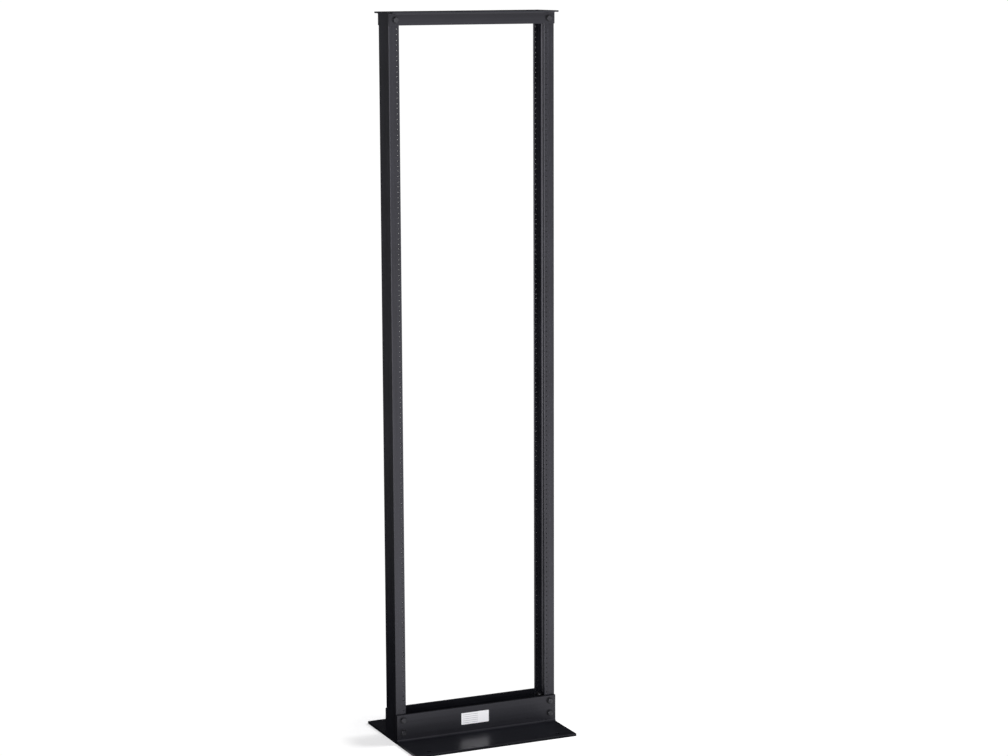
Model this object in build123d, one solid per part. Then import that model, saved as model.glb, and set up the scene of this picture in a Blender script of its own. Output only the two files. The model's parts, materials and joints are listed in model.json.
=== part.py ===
from build123d import *
from math import pi, sin, sqrt
import os

# Two post open frame rack: two extruded channels stand on a pair of base angles,
# and a pair of top angles ties their heads together.
# Millimetres. The origin is on the floor at the middle of the base, +Z is up,
# +X is to the right and -Y is the front, which the equipment bolts to.

# Overall sizes
rack_height = 2133.6
bay_width = 450.85

# Uprights: channels with the web outside and both flanges turned in to the bay
upright_depth = 76.2
flange_width = 32.13
flange_thickness = 6.35
web_thickness = 4.76
upright_corner_radius = 1.2
upright_fillet_radius = 6.0

# Tapped equipment holes, in rack units of three holes, through all four flanges
unit_height = 44.45
holes_in_unit = (6.35, 22.225, 38.1)
hole_line_from_flange_tip = 7.125
tapped_hole_diameter = 4.8
first_unit_above_base_leg = 3.175

# Base angles: one leg bolts to the uprights, the other lies on the floor and points outwards
base_leg_height = 88.9
base_foot_length = 152.4
base_thickness = 7.94
base_fillet_radius = 6.0
base_edge_radius = 1.5

# Top angles, set the same way up under the top of the rack, with their foot pointing outwards
top_leg_height = 38.1
top_foot_length = 31.75
top_thickness = 4.76
top_fillet_radius = 3.2
top_edge_radius = 1.0

# Joining bolts, on one line down the middle of each flange
bolt_hole_diameter = 10.3
bolt_line_from_side = 19.05
base_bolts_below_leg_top = (15.875, 53.975)
top_bolt_below_top = 22.2

# Floor anchor holes, one near each corner of the base
anchor_hole_diameter = 12.7
anchor_from_side = 50.8
anchor_from_foot_edge = 25.4

# Holes that no mount states are prisms of the same area, to keep the model light
tapped_hole_sides = 4
bolt_hole_sides = 8
cutter_overrun = 2.0

# Places worked out from the sizes above
half_width = bay_width / 2 + flange_width
half_depth = upright_depth / 2
hole_column = bay_width / 2 + hole_line_from_flange_tip
bolt_column = half_width - bolt_line_from_side
base_bolt_heights = [base_leg_height - drop for drop in base_bolts_below_leg_top]
top_bolt_height = rack_height - top_bolt_below_top
first_unit_height = base_leg_height + first_unit_above_base_leg
unit_count = int((rack_height - top_leg_height - first_unit_height) // unit_height)
round_units = (0, unit_count // 2, unit_count - 1)


def same_area_radius(diameter, sides):
    """Corner radius of the regular polygon that has the area of a round hole."""
    return diameter / 2 * sqrt(2 * pi / (sides * sin(2 * pi / sides)))


def cutter_along_y(diameter, length, sides=0):
    """A cutter from y = 0 back to y = length: round, or a prism with a number of sides."""
    if sides:
        outline = RegularPolygon(same_area_radius(diameter, sides), sides)
    else:
        outline = Circle(diameter / 2)
    return extrude(Plane.XZ * outline, amount=-length)


def channel_section():
    """Section of the left upright, seen from above, with its web at the rack's left side."""
    with BuildSketch() as section:
        with Locations((-half_width, 0)):
            Rectangle(flange_width, upright_depth, align=(Align.MIN, Align.CENTER))
        fillet(section.vertices().group_by(Axis.X)[0], upright_corner_radius)
        hollow_depth = upright_depth - 2 * flange_thickness
        with Locations((-half_width + web_thickness, 0)):
            Rectangle(flange_width, hollow_depth, align=(Align.MIN, Align.CENTER), mode=Mode.SUBTRACT)
        hollow_corners = section.vertices().group_by(Axis.X)[-2]
        fillet(hollow_corners, upright_fillet_radius)
    return section.sketch


def is_round(unit, place):
    """The outer two holes of three units are the stated ones, and stay true cylinders."""
    return unit in round_units and place in (0, len(holes_in_unit) - 1)


def tapped_hole_cutters():
    """One cutter for each tapped hole of the left upright's front and rear flanges."""
    length = flange_thickness + 2 * cutter_overrun
    round_cutter = cutter_along_y(tapped_hole_diameter, length)
    light_cutter = cutter_along_y(tapped_hole_diameter, length, tapped_hole_sides)
    front = -half_depth - cutter_overrun
    rear = half_depth - flange_thickness - cutter_overrun
    cutters = []
    for unit in range(unit_count):
        for place, offset in enumerate(holes_in_unit):
            height = first_unit_height + unit * unit_height + offset
            front_cutter = round_cutter if is_round(unit, place) else light_cutter
            cutters.append(Pos(-hole_column, front, height) * front_cutter)
            cutters.append(Pos(-hole_column, rear, height) * light_cutter)
    return cutters


def upright_bolt_cutters():
    """The bolt holes of the left upright, each straight through both flanges."""
    cutter = cutter_along_y(bolt_hole_diameter, upright_depth + 2 * cutter_overrun, bolt_hole_sides)
    front = -half_depth - cutter_overrun
    return [Pos(-bolt_column, front, height) * cutter for height in [*base_bolt_heights, top_bolt_height]]


def left_upright():
    """The left channel with its tapped holes and bolt holes."""
    channel = extrude(channel_section(), amount=rack_height)
    return channel - [*tapped_hole_cutters(), *upright_bolt_cutters()]


def angle_section(leg, foot, thickness, fillet_radius, edge_radius):
    """An angle seen along X, with its heel at the origin, its leg up Z and its foot towards -Y."""
    with BuildSketch(Plane.YZ) as section:
        Rectangle(thickness, leg, align=(Align.MAX, Align.MIN))
        Rectangle(foot, thickness, align=(Align.MAX, Align.MIN))
        foot_end, leg_front, _ = section.vertices().group_by(Axis.X)
        foot_corner = foot_end.sort_by(Axis.Y)[-1]
        inner_corner, leg_corner = leg_front.sort_by(Axis.Y)
        fillet(inner_corner, fillet_radius)
        fillet([leg_corner, foot_corner], edge_radius)
    return section.sketch


def angle_bar(leg, foot, thickness, fillet_radius, edge_radius):
    """An angle as wide as the rack, with its back on the front of the uprights."""
    section = angle_section(leg, foot, thickness, fillet_radius, edge_radius)
    return Pos(0, -half_depth, 0) * extrude(section, amount=half_width, both=True)


def bolt_cutters(heights, thickness):
    """Bolt holes through an angle's leg, at each height and on both sides of the rack."""
    cutter = cutter_along_y(bolt_hole_diameter, thickness + 2 * cutter_overrun, bolt_hole_sides)
    start = -half_depth - thickness - cutter_overrun
    return [Pos(side * bolt_column, start, height) * cutter for side in (-1, 1) for height in heights]


def front_base_angle():
    """The front base angle, with its foot on the floor and an anchor hole near each end."""
    bar = angle_bar(base_leg_height, base_foot_length, base_thickness, base_fillet_radius, base_edge_radius)
    anchor_column = half_width - anchor_from_side
    anchor_row = -half_depth - base_foot_length + anchor_from_foot_edge
    anchor = extrude(Circle(anchor_hole_diameter / 2), amount=base_thickness + 2 * cutter_overrun)
    anchors = [Pos(side * anchor_column, anchor_row, -cutter_overrun) * anchor for side in (-1, 1)]
    return bar - [*bolt_cutters(base_bolt_heights, base_thickness), *anchors]


def front_top_angle():
    """The front top angle, upside down, so that its foot is level with the top of the rack."""
    bar = angle_bar(top_leg_height, top_foot_length, top_thickness, top_fillet_radius, top_edge_radius)
    bar = Pos(0, 0, rack_height) * mirror(bar, about=Plane.XY)
    return bar - bolt_cutters([top_bolt_height], top_thickness)


upright = left_upright()
base_angle = front_base_angle()
top_angle = front_top_angle()

pieces = {
    "left_upright": upright,
    "right_upright": mirror(upright, about=Plane.YZ),
    "front_base_angle": base_angle,
    "rear_base_angle": mirror(base_angle, about=Plane.XZ),
    "front_top_angle": top_angle,
    "rear_top_angle": mirror(top_angle, about=Plane.XZ),
}

os.makedirs("parts", exist_ok=True)
for name, piece in pieces.items():
    export_step(piece, f"parts/{name}.step")
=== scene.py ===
import json
from contextlib import contextmanager
from math import pi, radians, sqrt, tan

import bmesh
import bpy
from mathutils import Matrix, Quaternion, Vector


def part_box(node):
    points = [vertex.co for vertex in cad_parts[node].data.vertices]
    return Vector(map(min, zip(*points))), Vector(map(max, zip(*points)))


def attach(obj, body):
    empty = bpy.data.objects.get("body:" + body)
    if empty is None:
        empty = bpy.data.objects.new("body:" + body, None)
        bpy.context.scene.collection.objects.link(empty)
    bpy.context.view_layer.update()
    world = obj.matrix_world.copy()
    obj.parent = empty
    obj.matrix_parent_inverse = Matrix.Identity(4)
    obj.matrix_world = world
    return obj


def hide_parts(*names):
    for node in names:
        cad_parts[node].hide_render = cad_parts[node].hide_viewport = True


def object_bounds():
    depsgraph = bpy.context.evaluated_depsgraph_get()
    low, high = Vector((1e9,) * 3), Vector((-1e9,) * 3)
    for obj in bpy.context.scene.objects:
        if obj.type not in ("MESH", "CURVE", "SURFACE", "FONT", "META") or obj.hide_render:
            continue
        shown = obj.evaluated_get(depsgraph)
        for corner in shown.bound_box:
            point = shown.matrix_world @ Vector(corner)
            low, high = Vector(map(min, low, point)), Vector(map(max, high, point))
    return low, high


# Looks of a two post open frame rack, in metres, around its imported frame.
# The channels and angles are modelled again on their own outlines, with round tapped holes,
# broken edges and rounded corners, and the rack gets its bolts, nuts, washers and blank label.

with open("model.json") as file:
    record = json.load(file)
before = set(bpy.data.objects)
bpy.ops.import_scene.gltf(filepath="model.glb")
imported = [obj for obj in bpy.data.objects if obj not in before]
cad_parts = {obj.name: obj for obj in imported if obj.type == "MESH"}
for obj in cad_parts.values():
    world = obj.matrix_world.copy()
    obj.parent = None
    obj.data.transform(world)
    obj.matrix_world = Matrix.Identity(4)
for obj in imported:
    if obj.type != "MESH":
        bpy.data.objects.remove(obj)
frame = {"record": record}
cad_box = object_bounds()
mm = 0.001

# Sizes read from the frame
rack_height = cad_box[1].z
half_width = cad_box[1].x
web_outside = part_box("left_upright")[0].x
flange_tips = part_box("left_upright")[1].x
half_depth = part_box("left_upright")[1].y
base_leg_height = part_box("front_base_angle")[1].z
base_foot_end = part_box("front_base_angle")[0].y
top_leg_height = rack_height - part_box("front_top_angle")[0].z
top_foot_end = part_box("front_top_angle")[0].y

mounts = {mount["name"]: mount for mount in frame["record"]["mounts"]}
lowest_holes = mounts["equipment_holes_low"]
highest_holes = mounts["equipment_holes_high"]
anchor_holes = mounts["floor_anchor_holes"]
hole_column = lowest_holes["dims"]["spacing_x_mm"] * mm / 2
tapping_radius = lowest_holes["dims"]["hole_r_mm"] * mm
first_unit_middle = lowest_holes["pos_m"][2]
last_unit_middle = highest_holes["pos_m"][2]
anchor_column = anchor_holes["dims"]["spacing_x_mm"] * mm / 2
anchor_row = anchor_holes["dims"]["spacing_y_mm"] * mm / 2
anchor_radius = anchor_holes["dims"]["hole_r_mm"] * mm

# Walls, corners and edges of the extrusions
flange_thickness = 6.35 * mm
web_thickness = 4.76 * mm
upright_corner_radius = 1.2 * mm
upright_fillet_radius = 6.0 * mm
flange_tip_radius = 2.6 * mm
base_thickness = 7.94 * mm
base_fillet_radius = 6.0 * mm
base_edge_radius = 1.5 * mm
top_thickness = 4.76 * mm
top_fillet_radius = 3.2 * mm
top_edge_radius = 1.0 * mm
heel_radius = 0.5 * mm
saw_edge = 0.25 * mm

# Tapped equipment holes, three in each rack unit
unit_height = 44.45 * mm
holes_from_unit_middle = (-15.875 * mm, 0, 15.875 * mm)
unit_count = round((last_unit_middle - first_unit_middle) / unit_height) + 1
thread_crest_radius = tapping_radius - 0.7 * mm
thread_pitch = 0.79 * mm
hole_sides = 16
tapped_mouth = (tapping_radius - thread_crest_radius, 0.25 * mm)
drilled_mouth = (0.6 * mm, 0.6 * mm)
largest_bore_face = 20 * mm * mm

# Joining bolts: 3/8 inch hexagon bolts, with a flat washer outside and a lock washer inside
bolt_column = half_width - 19.05 * mm
base_bolt_heights = (base_leg_height - 15.875 * mm, base_leg_height - 53.975 * mm)
top_bolt_height = rack_height - 22.2 * mm
bolt_hole_radius = 5.15 * mm
bolt_radius = 4.76 * mm
bolt_pitch = 1.5875 * mm
bolt_root_radius = 3.85 * mm
base_bolt_length = 31.75 * mm
top_bolt_length = 25.4 * mm
hexagon_width = 14.29 * mm
head_height = 5.95 * mm
nut_height = 8.3 * mm
flat_washer_radius = 10.3 * mm
flat_washer_thickness = 1.65 * mm
lock_washer_radius = 8.6 * mm
lock_washer_thickness = 2.3 * mm
lock_washer_gap = radians(8)
washer_clearance = 0.2 * mm
nut_clearance = 0.1 * mm
bolt_end_chamfer = 1.2 * mm
hexagon_chamfer_angle = radians(30)
hexagon_crown = 0.97 * hexagon_width / 2
worn_edge = 0.12 * mm
washer_edge = 0.15 * mm

# Blank label on the leg of the front base angle
label_left = -52 * mm
label_right = 37 * mm
label_bottom = 34.5 * mm
label_top = 70 * mm
label_thickness = 0.2 * mm
label_corner_radius = 2 * mm
label_row = 6.1 * mm
label_line = 0.7 * mm
label_ruled_start = label_left + 3.5 * mm
label_ruled_end = 2 * mm
label_line_fade = 0.5 * mm

NEAR = 0.01 * mm
OVERRUN = 0.5 * mm


# The camera stands where the photographer's did

def aim_camera():
    """A long lens, a little above the rack's head, to the left of its front."""
    place = Vector((-2.9377, -6.7067, 2.2623))
    target = Vector((0.1121, 0, 1.0606))
    roll = Quaternion((0, 0, 1), radians(-0.215))
    bpy.ops.object.camera_add(location=place)
    camera = bpy.context.object
    camera.name = "camera"
    camera.data.lens = 90.4
    camera.data.sensor_width = 36
    camera.data.clip_end = 1000
    camera.rotation_mode = "QUATERNION"
    camera.rotation_quaternion = (target - place).to_track_quat("-Z", "Y") @ roll
    bpy.context.scene.camera = camera


# Modelling by hand: primitives shaped in edit mode

def only(shape):
    """Select one object alone and make it the active one."""
    bpy.ops.object.select_all(action="DESELECT")
    shape.select_set(True)
    bpy.context.view_layer.objects.active = shape


def begin(name, add, scale=(1, 1, 1), **settings):
    """Add a primitive with nothing else selected, and put its place into its mesh."""
    bpy.ops.object.select_all(action="DESELECT")
    add(**settings)
    shape = bpy.context.object
    shape.name = name
    shape.scale = scale
    bpy.ops.object.transform_apply(location=True, rotation=True, scale=True)
    return shape


def slab(name, low, high):
    """A box from its lowest corner to its highest."""
    low, high = Vector(low), Vector(high)
    middle = (low + high) / 2
    return begin(name, bpy.ops.mesh.primitive_cube_add, size=1, location=middle, scale=high - low)


def copy_of(shape, name):
    """A copy of a shape with its own mesh."""
    only(shape)
    bpy.ops.object.duplicate()
    double = bpy.context.object
    double.name = name
    return double


def joined(shapes):
    """Several shapes as one object."""
    bpy.ops.object.select_all(action="DESELECT")
    for shape in shapes:
        shape.select_set(True)
    bpy.context.view_layer.objects.active = shapes[0]
    bpy.ops.object.join()
    return shapes[0]


def move(shape, matrix):
    """Move or turn a shape, and put its new place into its mesh."""
    only(shape)
    shape.matrix_world = matrix
    bpy.ops.object.transform_apply(location=True, rotation=True, scale=True)


@contextmanager
def edit_mode(shape):
    """Edit mode on one shape, with all of it selected at first."""
    only(shape)
    bpy.ops.object.mode_set(mode="EDIT")
    bpy.ops.mesh.select_mode(type="VERT")
    bpy.ops.mesh.select_all(action="SELECT")
    yield
    bpy.ops.object.mode_set(mode="OBJECT")


def at(x=None, y=None, z=None):
    """A test for a face or an edge whose corners all have these coordinates."""
    wanted = [(axis, value) for axis, value in enumerate((x, y, z)) if value is not None]

    def passes(part):
        return all(abs(corner.co[axis] - value) < NEAR
                   for corner in part.verts for axis, value in wanted)

    return passes


def pick(kind, *tests):
    """In edit mode, select just the faces or edges that pass any of the tests."""
    bpy.ops.mesh.select_mode(type=kind)
    bpy.ops.mesh.select_all(action="DESELECT")
    mesh = bmesh.from_edit_mesh(bpy.context.object.data)
    for part in mesh.faces if kind == "FACE" else mesh.edges:
        part.select_set(any(test(part) for test in tests))
    bmesh.update_edit_mesh(bpy.context.object.data)


def slice_at(**place):
    """In edit mode, cut a new edge loop where a coordinate has one value."""
    (axis, value), = place.items()
    normal = [float(name == axis) for name in "xyz"]
    bpy.ops.mesh.select_all(action="SELECT")
    bpy.ops.mesh.bisect(plane_co=[value * part for part in normal], plane_no=normal)


def extrude(x=0, y=0, z=0):
    bpy.ops.mesh.extrude_region_move(TRANSFORM_OT_translate={"value": (x, y, z)})


def round_off(radius, segments, *tests):
    """In edit mode, round the edges that pass any of the tests."""
    pick("EDGE", *tests)
    bpy.ops.mesh.bevel(offset=radius, segments=segments, affect="EDGES")


def face_outwards(shape):
    """Merge doubles and turn every face outwards."""
    with edit_mode(shape):
        bpy.ops.mesh.remove_doubles(threshold=NEAR / 10)
        bpy.ops.mesh.normals_make_consistent(inside=False)


def apply(shape, kind, **settings):
    """Give a shape a modifier with these settings, and apply it."""
    only(shape)
    modifier = shape.modifiers.new(kind.lower(), kind)
    for name, value in settings.items():
        setattr(modifier, name, value)
    bpy.ops.object.modifier_apply(modifier=modifier.name)


def row_of(shape, count, step):
    """Repeat a shape in a row."""
    apply(shape, "ARRAY", count=count, use_relative_offset=False, use_constant_offset=True,
          constant_offset_displace=step)


def cut(shape, cutter):
    """Take a cutter's shape away from another shape."""
    apply(shape, "BOOLEAN", object=cutter, operation="DIFFERENCE", solver="EXACT")
    bpy.data.objects.remove(cutter)


def keep_within(shape, limit):
    """Keep only what lies inside a second shape."""
    apply(shape, "BOOLEAN", object=limit, operation="INTERSECT", solver="EXACT")
    bpy.data.objects.remove(limit)


def mirrored(shape, name, **flipped):
    """A copy mirrored in X, Y or Z about the middle of the rack."""
    double = copy_of(shape, name)
    move(double, Matrix.Diagonal([-1 if axis in flipped else 1 for axis in "xyz"] + [1]))
    face_outwards(double)
    return double


def finish_part(shape, finish, test):
    """Give the faces that pass a test a finish of their own."""
    shape.data.materials.append(finish)
    with edit_mode(shape):
        pick("FACE", test)
        shape.active_material_index = len(shape.data.materials) - 1
        bpy.ops.object.material_slot_assign()


def hand_over(shape, finish, node=None):
    """Shade a finished piece, give it its material if it has none yet, and fix it to the rack,
    in place of a CAD node if one is named."""
    only(shape)
    bpy.ops.object.shade_smooth_by_angle(angle=radians(32))
    apply(shape, "WEIGHTED_NORMAL", keep_sharp=True, weight=100)
    if finish:
        shape.data.materials.append(finish)
    shape.data.name = shape.name
    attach(shape, "root")
    if node:
        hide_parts(node)


# Cutters for the holes

def hole_cutter(radius, mouth, start, end, column, height, sides):
    """A round cutter along Y from one face of a wall to the other. Each mouth is wider by its
    first number, down to its second number below the face."""
    widening, mouth_depth = mouth
    cone_depth = mouth_depth + OVERRUN
    wide = radius + widening * cone_depth / mouth_depth
    cutter = begin("cutter", bpy.ops.mesh.primitive_circle_add, vertices=sides, radius=wide,
                   fill_type="NGON", location=(column, start - OVERRUN, height), rotation=(pi / 2, 0, 0))
    axis = Vector((column, 0, height))
    with edit_mode(cutter):
        for step, factor in ((cone_depth, radius / wide),
                             (end - start - 2 * mouth_depth, 1),
                             (cone_depth, wide / radius)):
            extrude(y=step)
            if factor != 1:
                swell_round(factor, axis)
    face_outwards(cutter)
    return cutter


def swell_round(factor, axis):
    """In edit mode, widen or narrow the selection about an axis along Y."""
    bpy.ops.transform.resize(value=(factor, 1, factor), center_override=axis)


def tapped_hole_cutters():
    """Cutters for the left upright's 270 tapped holes: a rack unit's three, repeated."""
    start, end = -half_depth, -half_depth + flange_thickness
    unit = joined([hole_cutter(thread_crest_radius, tapped_mouth, start, end, -hole_column,
                               first_unit_middle + offset, hole_sides)
                   for offset in holes_from_unit_middle])
    row_of(unit, unit_count, (0, 0, unit_height))
    row_of(unit, 2, (0, 2 * half_depth - flange_thickness, 0))
    return unit


def bolt_hole_cutters(start, end, heights, columns):
    """Cutters for the joining bolts' clearance holes through one wall."""
    return [hole_cutter(bolt_hole_radius, drilled_mouth, start, end, column, height, 32)
            for height in heights for column in columns]


def in_tapped_hole(face):
    """Whether a face is a wall of one of the tapped holes."""
    from_column = abs(abs(face.calc_center_median().x) - hole_column)
    along_hole = abs(face.normal.y) < 0.1
    return from_column < tapping_radius and along_hole and face.calc_area() < largest_bore_face


# Extrusions

def upright_channel():
    """The left upright: a web outside, two flanges turned in to the bay, and all its holes."""
    inside = half_depth - flange_thickness
    web_inside = web_outside + web_thickness
    channel = slab("left_upright_channel", (web_outside, -half_depth, 0),
                   (web_inside, half_depth, rack_height))
    with edit_mode(channel):
        slice_at(y=-inside)
        slice_at(y=inside)
        bay_side = at(x=web_inside)
        pick("FACE", lambda face: bay_side(face) and abs(face.calc_center_median().y) > inside)
        extrude(x=flange_tips - web_inside)
        bpy.ops.mesh.select_all(action="SELECT")
        bpy.ops.mesh.dissolve_limited(angle_limit=radians(1))
        round_off(upright_fillet_radius, 10, at(x=web_inside, y=-inside), at(x=web_inside, y=inside))
        round_off(upright_corner_radius, 5,
                  at(x=web_outside, y=-half_depth), at(x=web_outside, y=half_depth))
        round_off(flange_tip_radius, 6,
                  *[at(x=flange_tips, y=place) for place in (-half_depth, -inside, inside, half_depth)])
        round_off(saw_edge, 1, at(z=0), at(z=rack_height))
    bolt_heights = (*base_bolt_heights, top_bolt_height)
    front = bolt_hole_cutters(-half_depth, -inside, bolt_heights, [-bolt_column])
    rear = bolt_hole_cutters(inside, half_depth, bolt_heights, [-bolt_column])
    cut(channel, joined([tapped_hole_cutters(), *front, *rear]))
    face_outwards(channel)
    return channel


def angle_bar(name, leg, foot_end, thickness, fillet_radius, edge_radius):
    """An angle with its heel on the floor: one leg up the front of the rack, a foot towards -Y."""
    back, front = -half_depth, -half_depth - thickness
    angle = slab(name, (-half_width, front, 0), (half_width, back, leg))
    with edit_mode(angle):
        slice_at(z=thickness)
        leg_front = at(y=front)
        pick("FACE", lambda face: leg_front(face) and face.calc_center_median().z < thickness)
        extrude(y=foot_end - front)
        bpy.ops.mesh.select_all(action="SELECT")
        bpy.ops.mesh.dissolve_limited(angle_limit=radians(1))
        round_off(fillet_radius, 10, at(y=front, z=thickness))
        round_off(edge_radius, 5, at(y=front, z=leg), at(y=foot_end, z=thickness))
        round_off(heel_radius, 3, at(y=back, z=leg), at(y=back, z=0), at(y=foot_end, z=0))
        round_off(saw_edge, 1, at(x=-half_width), at(x=half_width))
    return angle


def base_angle():
    """The front base angle, with four bolt holes in its leg and two anchor holes in its foot."""
    angle = angle_bar("front_base_angle_bar", base_leg_height, base_foot_end, base_thickness,
                      base_fillet_radius, base_edge_radius)
    bolts = bolt_hole_cutters(-half_depth - base_thickness, -half_depth, base_bolt_heights,
                              [-bolt_column, bolt_column])
    anchors = []
    for column in (-anchor_column, anchor_column):
        anchor = hole_cutter(anchor_radius, drilled_mouth, 0, base_thickness, 0, 0, 32)
        move(anchor, Matrix.Translation((column, -anchor_row, 0)) @ Matrix.Rotation(pi / 2, 4, "X"))
        anchors.append(anchor)
    cut(angle, joined([*bolts, *anchors]))
    face_outwards(angle)
    return angle


def top_angle():
    """The front top angle, turned over so that its foot is level with the top of the rack."""
    angle = angle_bar("front_top_angle_bar", top_leg_height, top_foot_end, top_thickness,
                      top_fillet_radius, top_edge_radius)
    move(angle, Matrix.Translation((0, 0, rack_height)) @ Matrix.Diagonal((1, 1, -1, 1)))
    bolts = bolt_hole_cutters(-half_depth - top_thickness, -half_depth, [top_bolt_height],
                              [-bolt_column, bolt_column])
    face_outwards(angle)
    cut(angle, joined(bolts))
    face_outwards(angle)
    return angle


# Fasteners, each modelled once about the Z axis, with the face that bears on the rack at z = 0

def hexagon(name, height, chamfers):
    """A hexagon bar end, with its corners taken off by a cone at one end or both."""
    corner_radius = hexagon_width / sqrt(3)
    shape = begin(name, bpy.ops.mesh.primitive_cylinder_add, vertices=6, radius=corner_radius,
                  depth=height, location=(0, 0, height / 2))
    cone_height = 2 * height
    wide_end = hexagon_crown + cone_height / tan(hexagon_chamfer_angle)
    for top in chamfers:
        lower, upper = (wide_end, hexagon_crown) if top else (hexagon_crown, wide_end)
        cone = begin("cone", bpy.ops.mesh.primitive_cone_add, vertices=48, radius1=lower,
                     radius2=upper, depth=cone_height, location=(0, 0, 0 if top else height))
        keep_within(shape, cone)
    face_outwards(shape)
    with edit_mode(shape):
        pick("EDGE", lambda edge: len(edge.link_faces) == 2 and edge.calc_face_angle() > radians(20))
        bpy.ops.mesh.bevel(offset=worn_edge, segments=2, affect="EDGES")
    return shape


def thread(name, length):
    """A threaded bar down from z = 0, with a chamfered end."""
    turns = int(length / bolt_pitch) + 2
    bar = begin(name, bpy.ops.mesh.primitive_plane_add, size=1)
    low = -length - bolt_pitch
    outline = ((bolt_root_radius, 0), (bolt_radius, 0.44), (bolt_radius, 0.56), (bolt_root_radius, 1))
    with edit_mode(bar):
        bpy.ops.mesh.delete(type="ONLY_FACE")
        mesh = bmesh.from_edit_mesh(bar.data)
        mesh.verts.ensure_lookup_table()
        ring = walk_round(mesh)
        for corner, (radius, share) in zip(ring, outline):
            corner.co = (radius, 0, low + share * bolt_pitch)
        mesh.edges.remove(mesh.edges.get((ring[0], ring[-1])))
        bmesh.update_edit_mesh(bar.data)
    apply(bar, "SCREW", angle=2 * pi, screw_offset=bolt_pitch, iterations=turns, steps=24,
          render_steps=24, use_merge_vertices=True)
    with edit_mode(bar):
        bpy.ops.mesh.remove_doubles(threshold=NEAR / 10)
        bpy.ops.mesh.select_all(action="DESELECT")
        bpy.ops.mesh.select_non_manifold()
        bpy.ops.mesh.edge_face_add()
    face_outwards(bar)
    limit = begin("limit", bpy.ops.mesh.primitive_cylinder_add, vertices=32,
                  radius=bolt_radius + OVERRUN, depth=length, location=(0, 0, -length / 2))
    with edit_mode(limit):
        round_off(bolt_end_chamfer + OVERRUN, 1, at(z=-length))
    keep_within(bar, limit)
    return bar


def walk_round(mesh):
    """The corners of a single ring of edges, in order."""
    corner = mesh.verts[0]
    edge = corner.link_edges[0]
    ring = []
    while corner not in ring:
        ring.append(corner)
        corner = edge.other_vert(corner)
        edge = next(other for other in corner.link_edges if other is not edge)
    return ring


def bolt(name, length):
    """A hexagon head on a threaded bar."""
    head = hexagon(name, head_height, [True])
    bar = thread("bar", length)
    return joined([head, bar])


def ring(name, inner, outer, thickness, gap=0):
    """A washer: a rectangle turned about the Z axis, with a gap if it is split."""
    profile = begin(name, bpy.ops.mesh.primitive_plane_add, size=1, rotation=(pi / 2, 0, gap / 2),
                    location=((inner + outer) / 2, 0, thickness / 2),
                    scale=(outer - inner, thickness, 1))
    with edit_mode(profile):
        bpy.ops.mesh.delete(type="ONLY_FACE")
        bpy.ops.mesh.select_all(action="SELECT")
        bpy.ops.mesh.spin(steps=48, angle=2 * pi - gap, center=(0, 0, 0), axis=(0, 0, 1))
        bpy.ops.mesh.select_all(action="SELECT")
        bpy.ops.mesh.remove_doubles(threshold=NEAR / 10)
        if gap:
            bpy.ops.mesh.fill_holes(sides=4)
    face_outwards(profile)
    with edit_mode(profile):
        pick("EDGE", lambda edge: len(edge.link_faces) == 2 and edge.calc_face_angle() > radians(60))
        bpy.ops.mesh.bevel(offset=washer_edge, segments=2, affect="EDGES")
    return profile


def nut(name):
    """A hexagon nut with its bore cut out."""
    shape = hexagon(name, nut_height, [True, False])
    bore = begin("bore", bpy.ops.mesh.primitive_cylinder_add, vertices=32,
                 radius=bolt_radius + nut_clearance, depth=3 * nut_height)
    cut(shape, bore)
    face_outwards(shape)
    return shape


def fit(pattern, name, column, face, height, outwards, turn, finish):
    """Place a copy of a fastener on a face, with its Z axis along -Y or +Y."""
    double = copy_of(pattern, name)
    tilt = Matrix.Rotation(pi / 2 if outwards < 0 else -pi / 2, 4, "X")
    move(double, Matrix.Translation((column, face, height)) @ tilt @ Matrix.Rotation(turn, 4, "Z"))
    hand_over(double, finish)


def fit_bolts(bolt_finish, washer_finish):
    """Twelve bolts, each with a flat washer outside, and a lock washer and a nut inside."""
    base_bolt = bolt("base_bolt", base_bolt_length)
    top_bolt = bolt("top_bolt", top_bolt_length)
    flat_washer = ring("flat_washer", bolt_radius + washer_clearance, flat_washer_radius,
                       flat_washer_thickness)
    lock_washer = ring("lock_washer", bolt_radius + nut_clearance, lock_washer_radius,
                       lock_washer_thickness, gap=lock_washer_gap)
    plain_nut = nut("nut")
    joints = [("upper_base", base_bolt, base_bolt_heights[0], base_thickness),
              ("lower_base", base_bolt, base_bolt_heights[1], base_thickness),
              ("top", top_bolt, top_bolt_height, top_thickness)]
    turn = radians(11)
    for row, pattern, height, angle_thickness in joints:
        for front, outwards in (("front", -1), ("rear", 1)):
            for side, column in (("left", -bolt_column), ("right", bolt_column)):
                place = f"{front}_{side}_{row}"
                outer_face = outwards * (half_depth + angle_thickness)
                inner_face = outwards * (half_depth - flange_thickness)
                under_head = outer_face + outwards * flat_washer_thickness
                under_nut = inner_face - outwards * lock_washer_thickness
                for kind, fastener, face, way, spin, finish in (
                        ("flat_washer", flat_washer, outer_face, outwards, turn, washer_finish),
                        ("bolt", pattern, under_head, outwards, turn, bolt_finish),
                        ("lock_washer", lock_washer, inner_face, -outwards, turn, washer_finish),
                        ("nut", plain_nut, under_nut, -outwards, turn * 2, bolt_finish)):
                    fit(fastener, f"{place}_{kind}", column, face, height, way, spin, finish)
                turn += radians(23)
    for pattern in (base_bolt, top_bolt, flat_washer, lock_washer, plain_nut):
        bpy.data.objects.remove(pattern)


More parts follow.
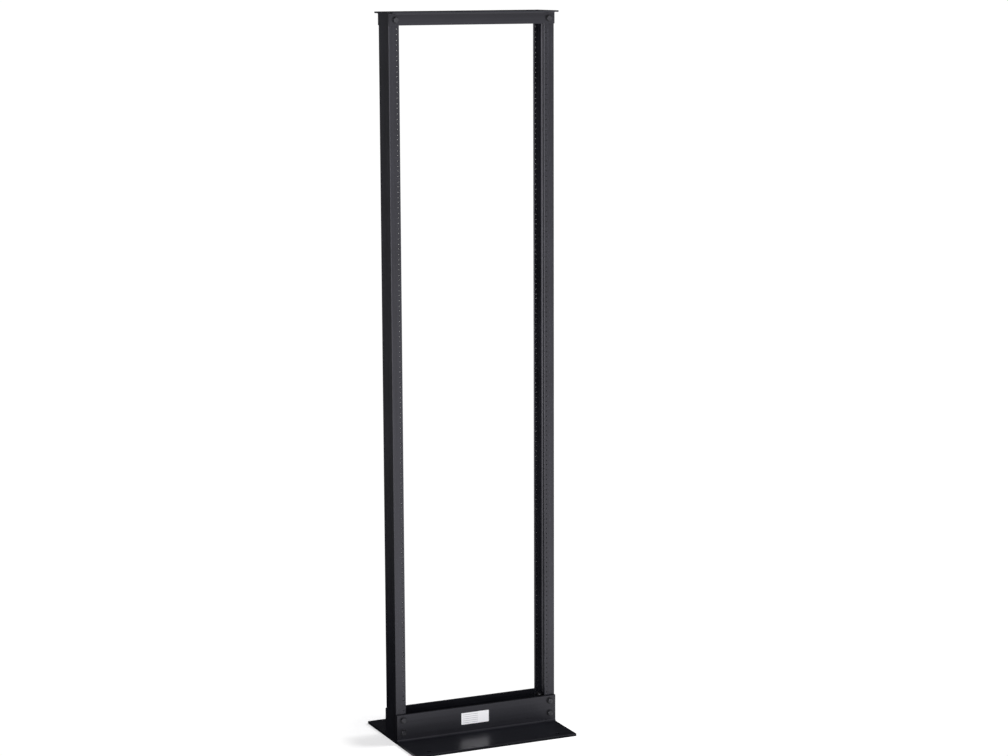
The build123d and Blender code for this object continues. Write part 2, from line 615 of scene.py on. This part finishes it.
def label():
    """A blank film label with rounded corners."""
    face = -half_depth - base_thickness
    film = slab("blank_label", (label_left, face - label_thickness, label_bottom),
                (label_right, face, label_top))
    with edit_mode(film):
        corners = [at(x=x, z=z) for x in (label_left, label_right) for z in (label_bottom, label_top)]
        round_off(label_corner_radius, 6, *corners)
        round_off(label_thickness / 3, 2, at(y=face - label_thickness))
    return film


# Finishes

class Value:
    """A number that changes over a surface, which works in Python sums as its nodes do."""

    def __init__(self, finish, socket):
        self.finish = finish
        self.socket = socket

    def maths(self, operation, *values):
        return self.finish.node("ShaderNodeMath", {"operation": operation}, dict(enumerate(values)))

    def __add__(self, other):
        return self.maths("ADD", self, other)

    __radd__ = __add__

    def __sub__(self, other):
        return self.maths("SUBTRACT", self, other)

    def __rsub__(self, other):
        return self.maths("SUBTRACT", other, self)

    def __mul__(self, other):
        return self.maths("MULTIPLY", self, other)

    __rmul__ = __mul__

    def __truediv__(self, other):
        return self.maths("DIVIDE", self, other)

    def __abs__(self):
        return self.maths("ABSOLUTE", self)

    def __mod__(self, other):
        return self.maths("FLOORED_MODULO", self, other)

    def between(self, none, full):
        """A share that grows smoothly from 0, where the number is none, to 1, where it is full."""
        return self.finish.node("ShaderNodeMapRange", {"interpolation_type": "SMOOTHSTEP"},
                                {"Value": self, "From Min": none, "From Max": full})


class Finish:
    """The nodes of a material or of the world, put together one by one."""

    def __init__(self, owner):
        owner.use_nodes = True
        self.owner = owner
        self.nodes = owner.node_tree.nodes
        self.links = owner.node_tree.links
        self.shader = self.nodes.get("Principled BSDF") or self.nodes["Background"]

    def node(self, kind, settings, inputs, output=0):
        """Add a node: its settings first, then the values or links of its sockets."""
        made = self.nodes.new(kind)
        for name, value in settings.items():
            setattr(made, name, value)
        for name, value in inputs.items():
            self.fill(made.inputs[name], value)
        return Value(self, made.outputs[output])

    def fill(self, socket, value):
        if isinstance(value, Value):
            self.links.new(value.socket, socket)
        else:
            socket.default_value = value

    def surface(self, **inputs):
        """Set the shader's own sockets, named with underscores for their spaces."""
        for name, value in inputs.items():
            self.fill(self.shader.inputs[name.replace("_", " ")], value)

    def place(self):
        """Object coordinates, in metres from the rack's origin. In the world, the direction."""
        return self.node("ShaderNodeTexCoord", {}, {}, "Object")

    def along(self, axis):
        """One coordinate of the place."""
        return self.node("ShaderNodeSeparateXYZ", {}, {"Vector": self.place()}, axis)

    def ray(self, kind):
        """1 for one kind of light ray, and 0 for the others."""
        return self.node("ShaderNodeLightPath", {}, {}, f"Is {kind} Ray")

    def noise(self, scale, detail, stretch=(1, 1, 1)):
        """Noise of so many features a metre, stretched by a share along each axis."""
        stretched = self.node("ShaderNodeMapping", {}, {"Vector": self.place(), "Scale": stretch})
        return self.node("ShaderNodeTexNoise", {},
                         {"Vector": stretched, "Scale": scale, "Detail": detail})

    def blend(self, share, first, second):
        """A colour between two colours."""
        return self.node("ShaderNodeMix", {"data_type": "RGBA"},
                         {"Factor": share, "A": first, "B": second}, "Result")

    def relief(self, height, depth):
        """A bump of so many metres for each unit of height."""
        bump = self.node("ShaderNodeBump", {}, {"Strength": 1.0, "Distance": depth, "Height": height})
        self.surface(Normal=bump)


def new_material(name):
    return Finish(bpy.data.materials.new(name))


def black_coat(name, stretch, darkest, palest):
    """Satin black coat over the extrusion's die lines, which run where the stretch is small.
    Its colour goes from the darkest to the palest grey of its streaks."""
    finish = new_material(name)
    cloud = finish.noise(7, 3)
    streaks = finish.noise(130, 2, stretch)
    die_lines = finish.noise(420, 2, stretch)
    grit = finish.noise(1600, 2)
    shade = (cloud * 0.3 + streaks * 0.5 + die_lines * 0.2).between(0.35, 0.65)
    finish.surface(
        Base_Color=finish.blend(shade, darkest, palest),
        Roughness=0.25 + 0.10 * cloud + 0.06 * die_lines,
        Specular_IOR_Level=0.55,
        Specular_Tint=(0.92, 0.90, 1.0, 1),
    )
    finish.relief(streaks + die_lines * 0.25 + grit * 0.25, 0.06 * mm)
    return finish.owner


def tapped_bore():
    """The threads inside the equipment holes, which all lie along Y, as rings of bumps."""
    finish = new_material("tapped_threads")
    depth = finish.along("Y")
    cloud = finish.noise(300, 2)
    crests = abs((depth / thread_pitch) % 1 - 0.5).between(0.5, 0.0)
    # The colour is darker in the thread roots than on the crests: painted shade in the roots.
    finish.surface(
        Base_Color=finish.blend(crests, (0.003, 0.003, 0.004, 1), (0.020, 0.020, 0.024, 1)),
        Roughness=0.38 + 0.1 * cloud,
        Specular_IOR_Level=0.5,
    )
    finish.relief(crests, 0.35 * mm)
    return finish.owner


def black_oxide(name, darkest, palest):
    """Blackened steel, rubbed in places."""
    finish = new_material(name)
    cloud = finish.noise(160, 3)
    scuffs = finish.noise(900, 4)
    finish.surface(
        Base_Color=finish.blend(cloud.between(0.3, 0.7), darkest, palest),
        Metallic=0.9,
        Roughness=0.30 + 0.2 * scuffs,
    )
    finish.relief(scuffs, 0.02 * mm)
    return finish.owner


def label_film():
    """White film with faint ruled lines, left blank."""
    finish = new_material("label_film")
    across = finish.along("X")
    up = finish.along("Z")
    ruled = abs(up % label_row - label_row / 2).between(label_line, label_line * 0.6)
    ruled = ruled * across.between(label_ruled_start, label_ruled_start + label_line_fade)
    ruled = ruled * across.between(label_ruled_end, label_ruled_end - label_line_fade)
    cloud = finish.noise(60, 3)
    paper = finish.blend(cloud, (0.88, 0.88, 0.90, 1), (0.93, 0.93, 0.95, 1))
    finish.surface(
        Base_Color=finish.blend(ruled * 0.85, paper, (0.30, 0.31, 0.33, 1)),
        Roughness=0.42 + 0.08 * cloud,
        Specular_IOR_Level=0.4,
    )
    finish.relief(finish.noise(1200, 2), 0.01 * mm)
    return finish.owner


# The studio: bright in front, darker behind, with a floor that the camera sees as white

def floor():
    """A floor that keeps the rack's shadow near its feet and is plain white further off. For the rack's
    reflections it glows with painted light: a painted pool of light in front, duller behind, a painted
    shadow at the rack's feet, and a painted dark patch behind its left side."""
    ground = begin("floor", bpy.ops.mesh.primitive_plane_add, size=600)
    finish = new_material("studio_floor")
    across = finish.along("X")
    depth = finish.along("Y")
    away = finish.node("ShaderNodeVectorMath", {"operation": "LENGTH"}, {0: finish.place()}, "Value")
    # Painted pool of light on the floor in front of the rack, weaker far in front and to the right.
    far_in_front = depth.between(-2, -25)
    far_right = across.between(0.5, 1.9)
    painted_light_pool = depth.between(0.1, -1.2) * (1 - 0.4 * far_in_front) * (1 - 0.5 * far_right)
    # Painted shade: a dark patch in the floor's glow behind the rack's left side, seen only in
    # reflections; nothing lies there.
    bearing = across / (depth + 0.8)
    painted_patch_sector = bearing.between(-0.06, -0.18) * bearing.between(-1.8, -0.9)
    painted_dark_patch = depth.between(-0.20, -0.02) * across.between(-0.18, -0.27) * painted_patch_sector
    painted_patch_level = 0.09 * depth.between(0.3, 4.5)
    # Painted shadow: the floor's glow goes dark under the rack, between its base angles.
    painted_shade_at_feet = abs(depth).between(0.24, 0.21) * abs(across).between(0.30, 0.22)
    # Painted light: for every ray but the camera's, the floor is black and glows with this level instead
    # of being lit.
    painted_glow_for_reflections = (0.8 + 1.1 * painted_light_pool) * (1 - painted_dark_patch * (1 - painted_patch_level)) * (1 - painted_shade_at_feet)
    shadow_kept = away.between(0.42, 0.34)
    seen_level = 1.03 - 0.59 * shadow_kept
    seen = finish.ray("Camera")
    finish.surface(
        Base_Color=finish.blend(seen * shadow_kept, (0, 0, 0, 1), (0.82, 0.82, 0.82, 1)),
        Roughness=1.0,
        Specular_IOR_Level=0.0,
        Emission_Color=seen_level * seen + painted_glow_for_reflections * (1 - seen),
        Emission_Strength=1.0,
    )
    ground.data.materials.append(finish.owner)


def room():
    """The walls and ceiling, with a broad light in front. The camera sees plain white."""
    walls = Finish(bpy.data.worlds.new("room"))
    bpy.context.scene.world = walls.owner
    height = walls.along("Z")
    light_direction = Vector((-0.50, -0.86, 0.05)).normalized()
    toward_light = walls.node("ShaderNodeVectorMath", {"operation": "DOT_PRODUCT"},
                              {0: walls.place(), 1: light_direction}, "Value")
    broad_light = 2.4 * toward_light.between(0.40, 1.0)
    ceiling = 0.25 * height.between(0.45, 0.85)
    skirting = 0.15 * abs(height).between(0.08, 0.0)
    level = 0.012 + broad_light + ceiling + skirting
    seen = walls.ray("Camera")
    walls.surface(Color=(0.985, 0.98, 1.0, 1), Strength=1.03 * seen + level * (1 - seen))


def softbox(name, place, target, size, strength):
    """A square soft lamp that the camera doesn't see. Its strength is its brightness, white being 1."""
    bpy.ops.object.light_add(type="AREA", location=place)
    lamp = bpy.context.object
    lamp.name = name
    lamp.data.shape = "SQUARE"
    lamp.data.size = size
    lamp.data.energy = strength * pi * size ** 2
    lamp.rotation_mode = "QUATERNION"
    lamp.rotation_quaternion = (Vector(target) - Vector(place)).to_track_quat("-Z", "Y")
    lamp.visible_camera = False
    return lamp


def flag_off(lamp, lit):
    """Keep a lamp's light off everything but a few pieces, as a photographer's flags do."""
    pieces = bpy.data.collections.new(f"lit_by_{lamp.name}")
    for piece in lit:
        pieces.objects.link(piece)
    lamp.light_linking.receiver_collection = pieces


def studio_lamps(uprights):
    """One lamp for the gloss on the uprights' left, and one that throws the shadow to the left."""
    side_light = softbox("side_light", (-3.3, -0.7, 1.5), (0, -0.4, 1.2), 3.0, 4.2)
    side_light.visible_diffuse = False
    flag_off(side_light, uprights)
    shadow_light = softbox("shadow_light", (3.5, -0.8, 3.2), (0, 0, 0.3), 2.0, 12.0)
    shadow_light.visible_glossy = False


# The rack in its finishes, then the studio

aim_camera()
upright_coat = black_coat("black_coat_on_uprights", (1, 1, 0.01),
                          (0.0020, 0.0022, 0.0035, 1), (0.0085, 0.0090, 0.0125, 1))
angle_coat = black_coat("black_coat_on_angles", (0.01, 1, 1),
                        (0.0035, 0.0038, 0.0055, 1), (0.0095, 0.0100, 0.0130, 1))
threads = tapped_bore()
bolt_finish = black_oxide("black_oxide_bolts", (0.044, 0.044, 0.050, 1), (0.080, 0.080, 0.088, 1))
washer_finish = black_oxide("black_oxide_washers", (0.026, 0.026, 0.030, 1), (0.048, 0.048, 0.053, 1))

left_channel = upright_channel()
left_channel.data.materials.append(upright_coat)
finish_part(left_channel, threads, in_tapped_hole)
right_channel = mirrored(left_channel, "right_upright_channel", x=True)
front_base = base_angle()
rear_base = mirrored(front_base, "rear_base_angle_bar", y=True)
front_top = top_angle()
rear_top = mirrored(front_top, "rear_top_angle_bar", y=True)
for piece, finish, node in ((left_channel, None, "left_upright"),
                            (right_channel, None, "right_upright"),
                            (front_base, angle_coat, "front_base_angle"),
                            (rear_base, angle_coat, "rear_base_angle"),
                            (front_top, angle_coat, "front_top_angle"),
                            (rear_top, angle_coat, "rear_top_angle")):
    hand_over(piece, finish, node)
fit_bolts(bolt_finish, washer_finish)
hand_over(label(), label_film())

floor()
room()
studio_lamps([left_channel, right_channel])
bpy.context.scene.view_settings.view_transform = "Standard"
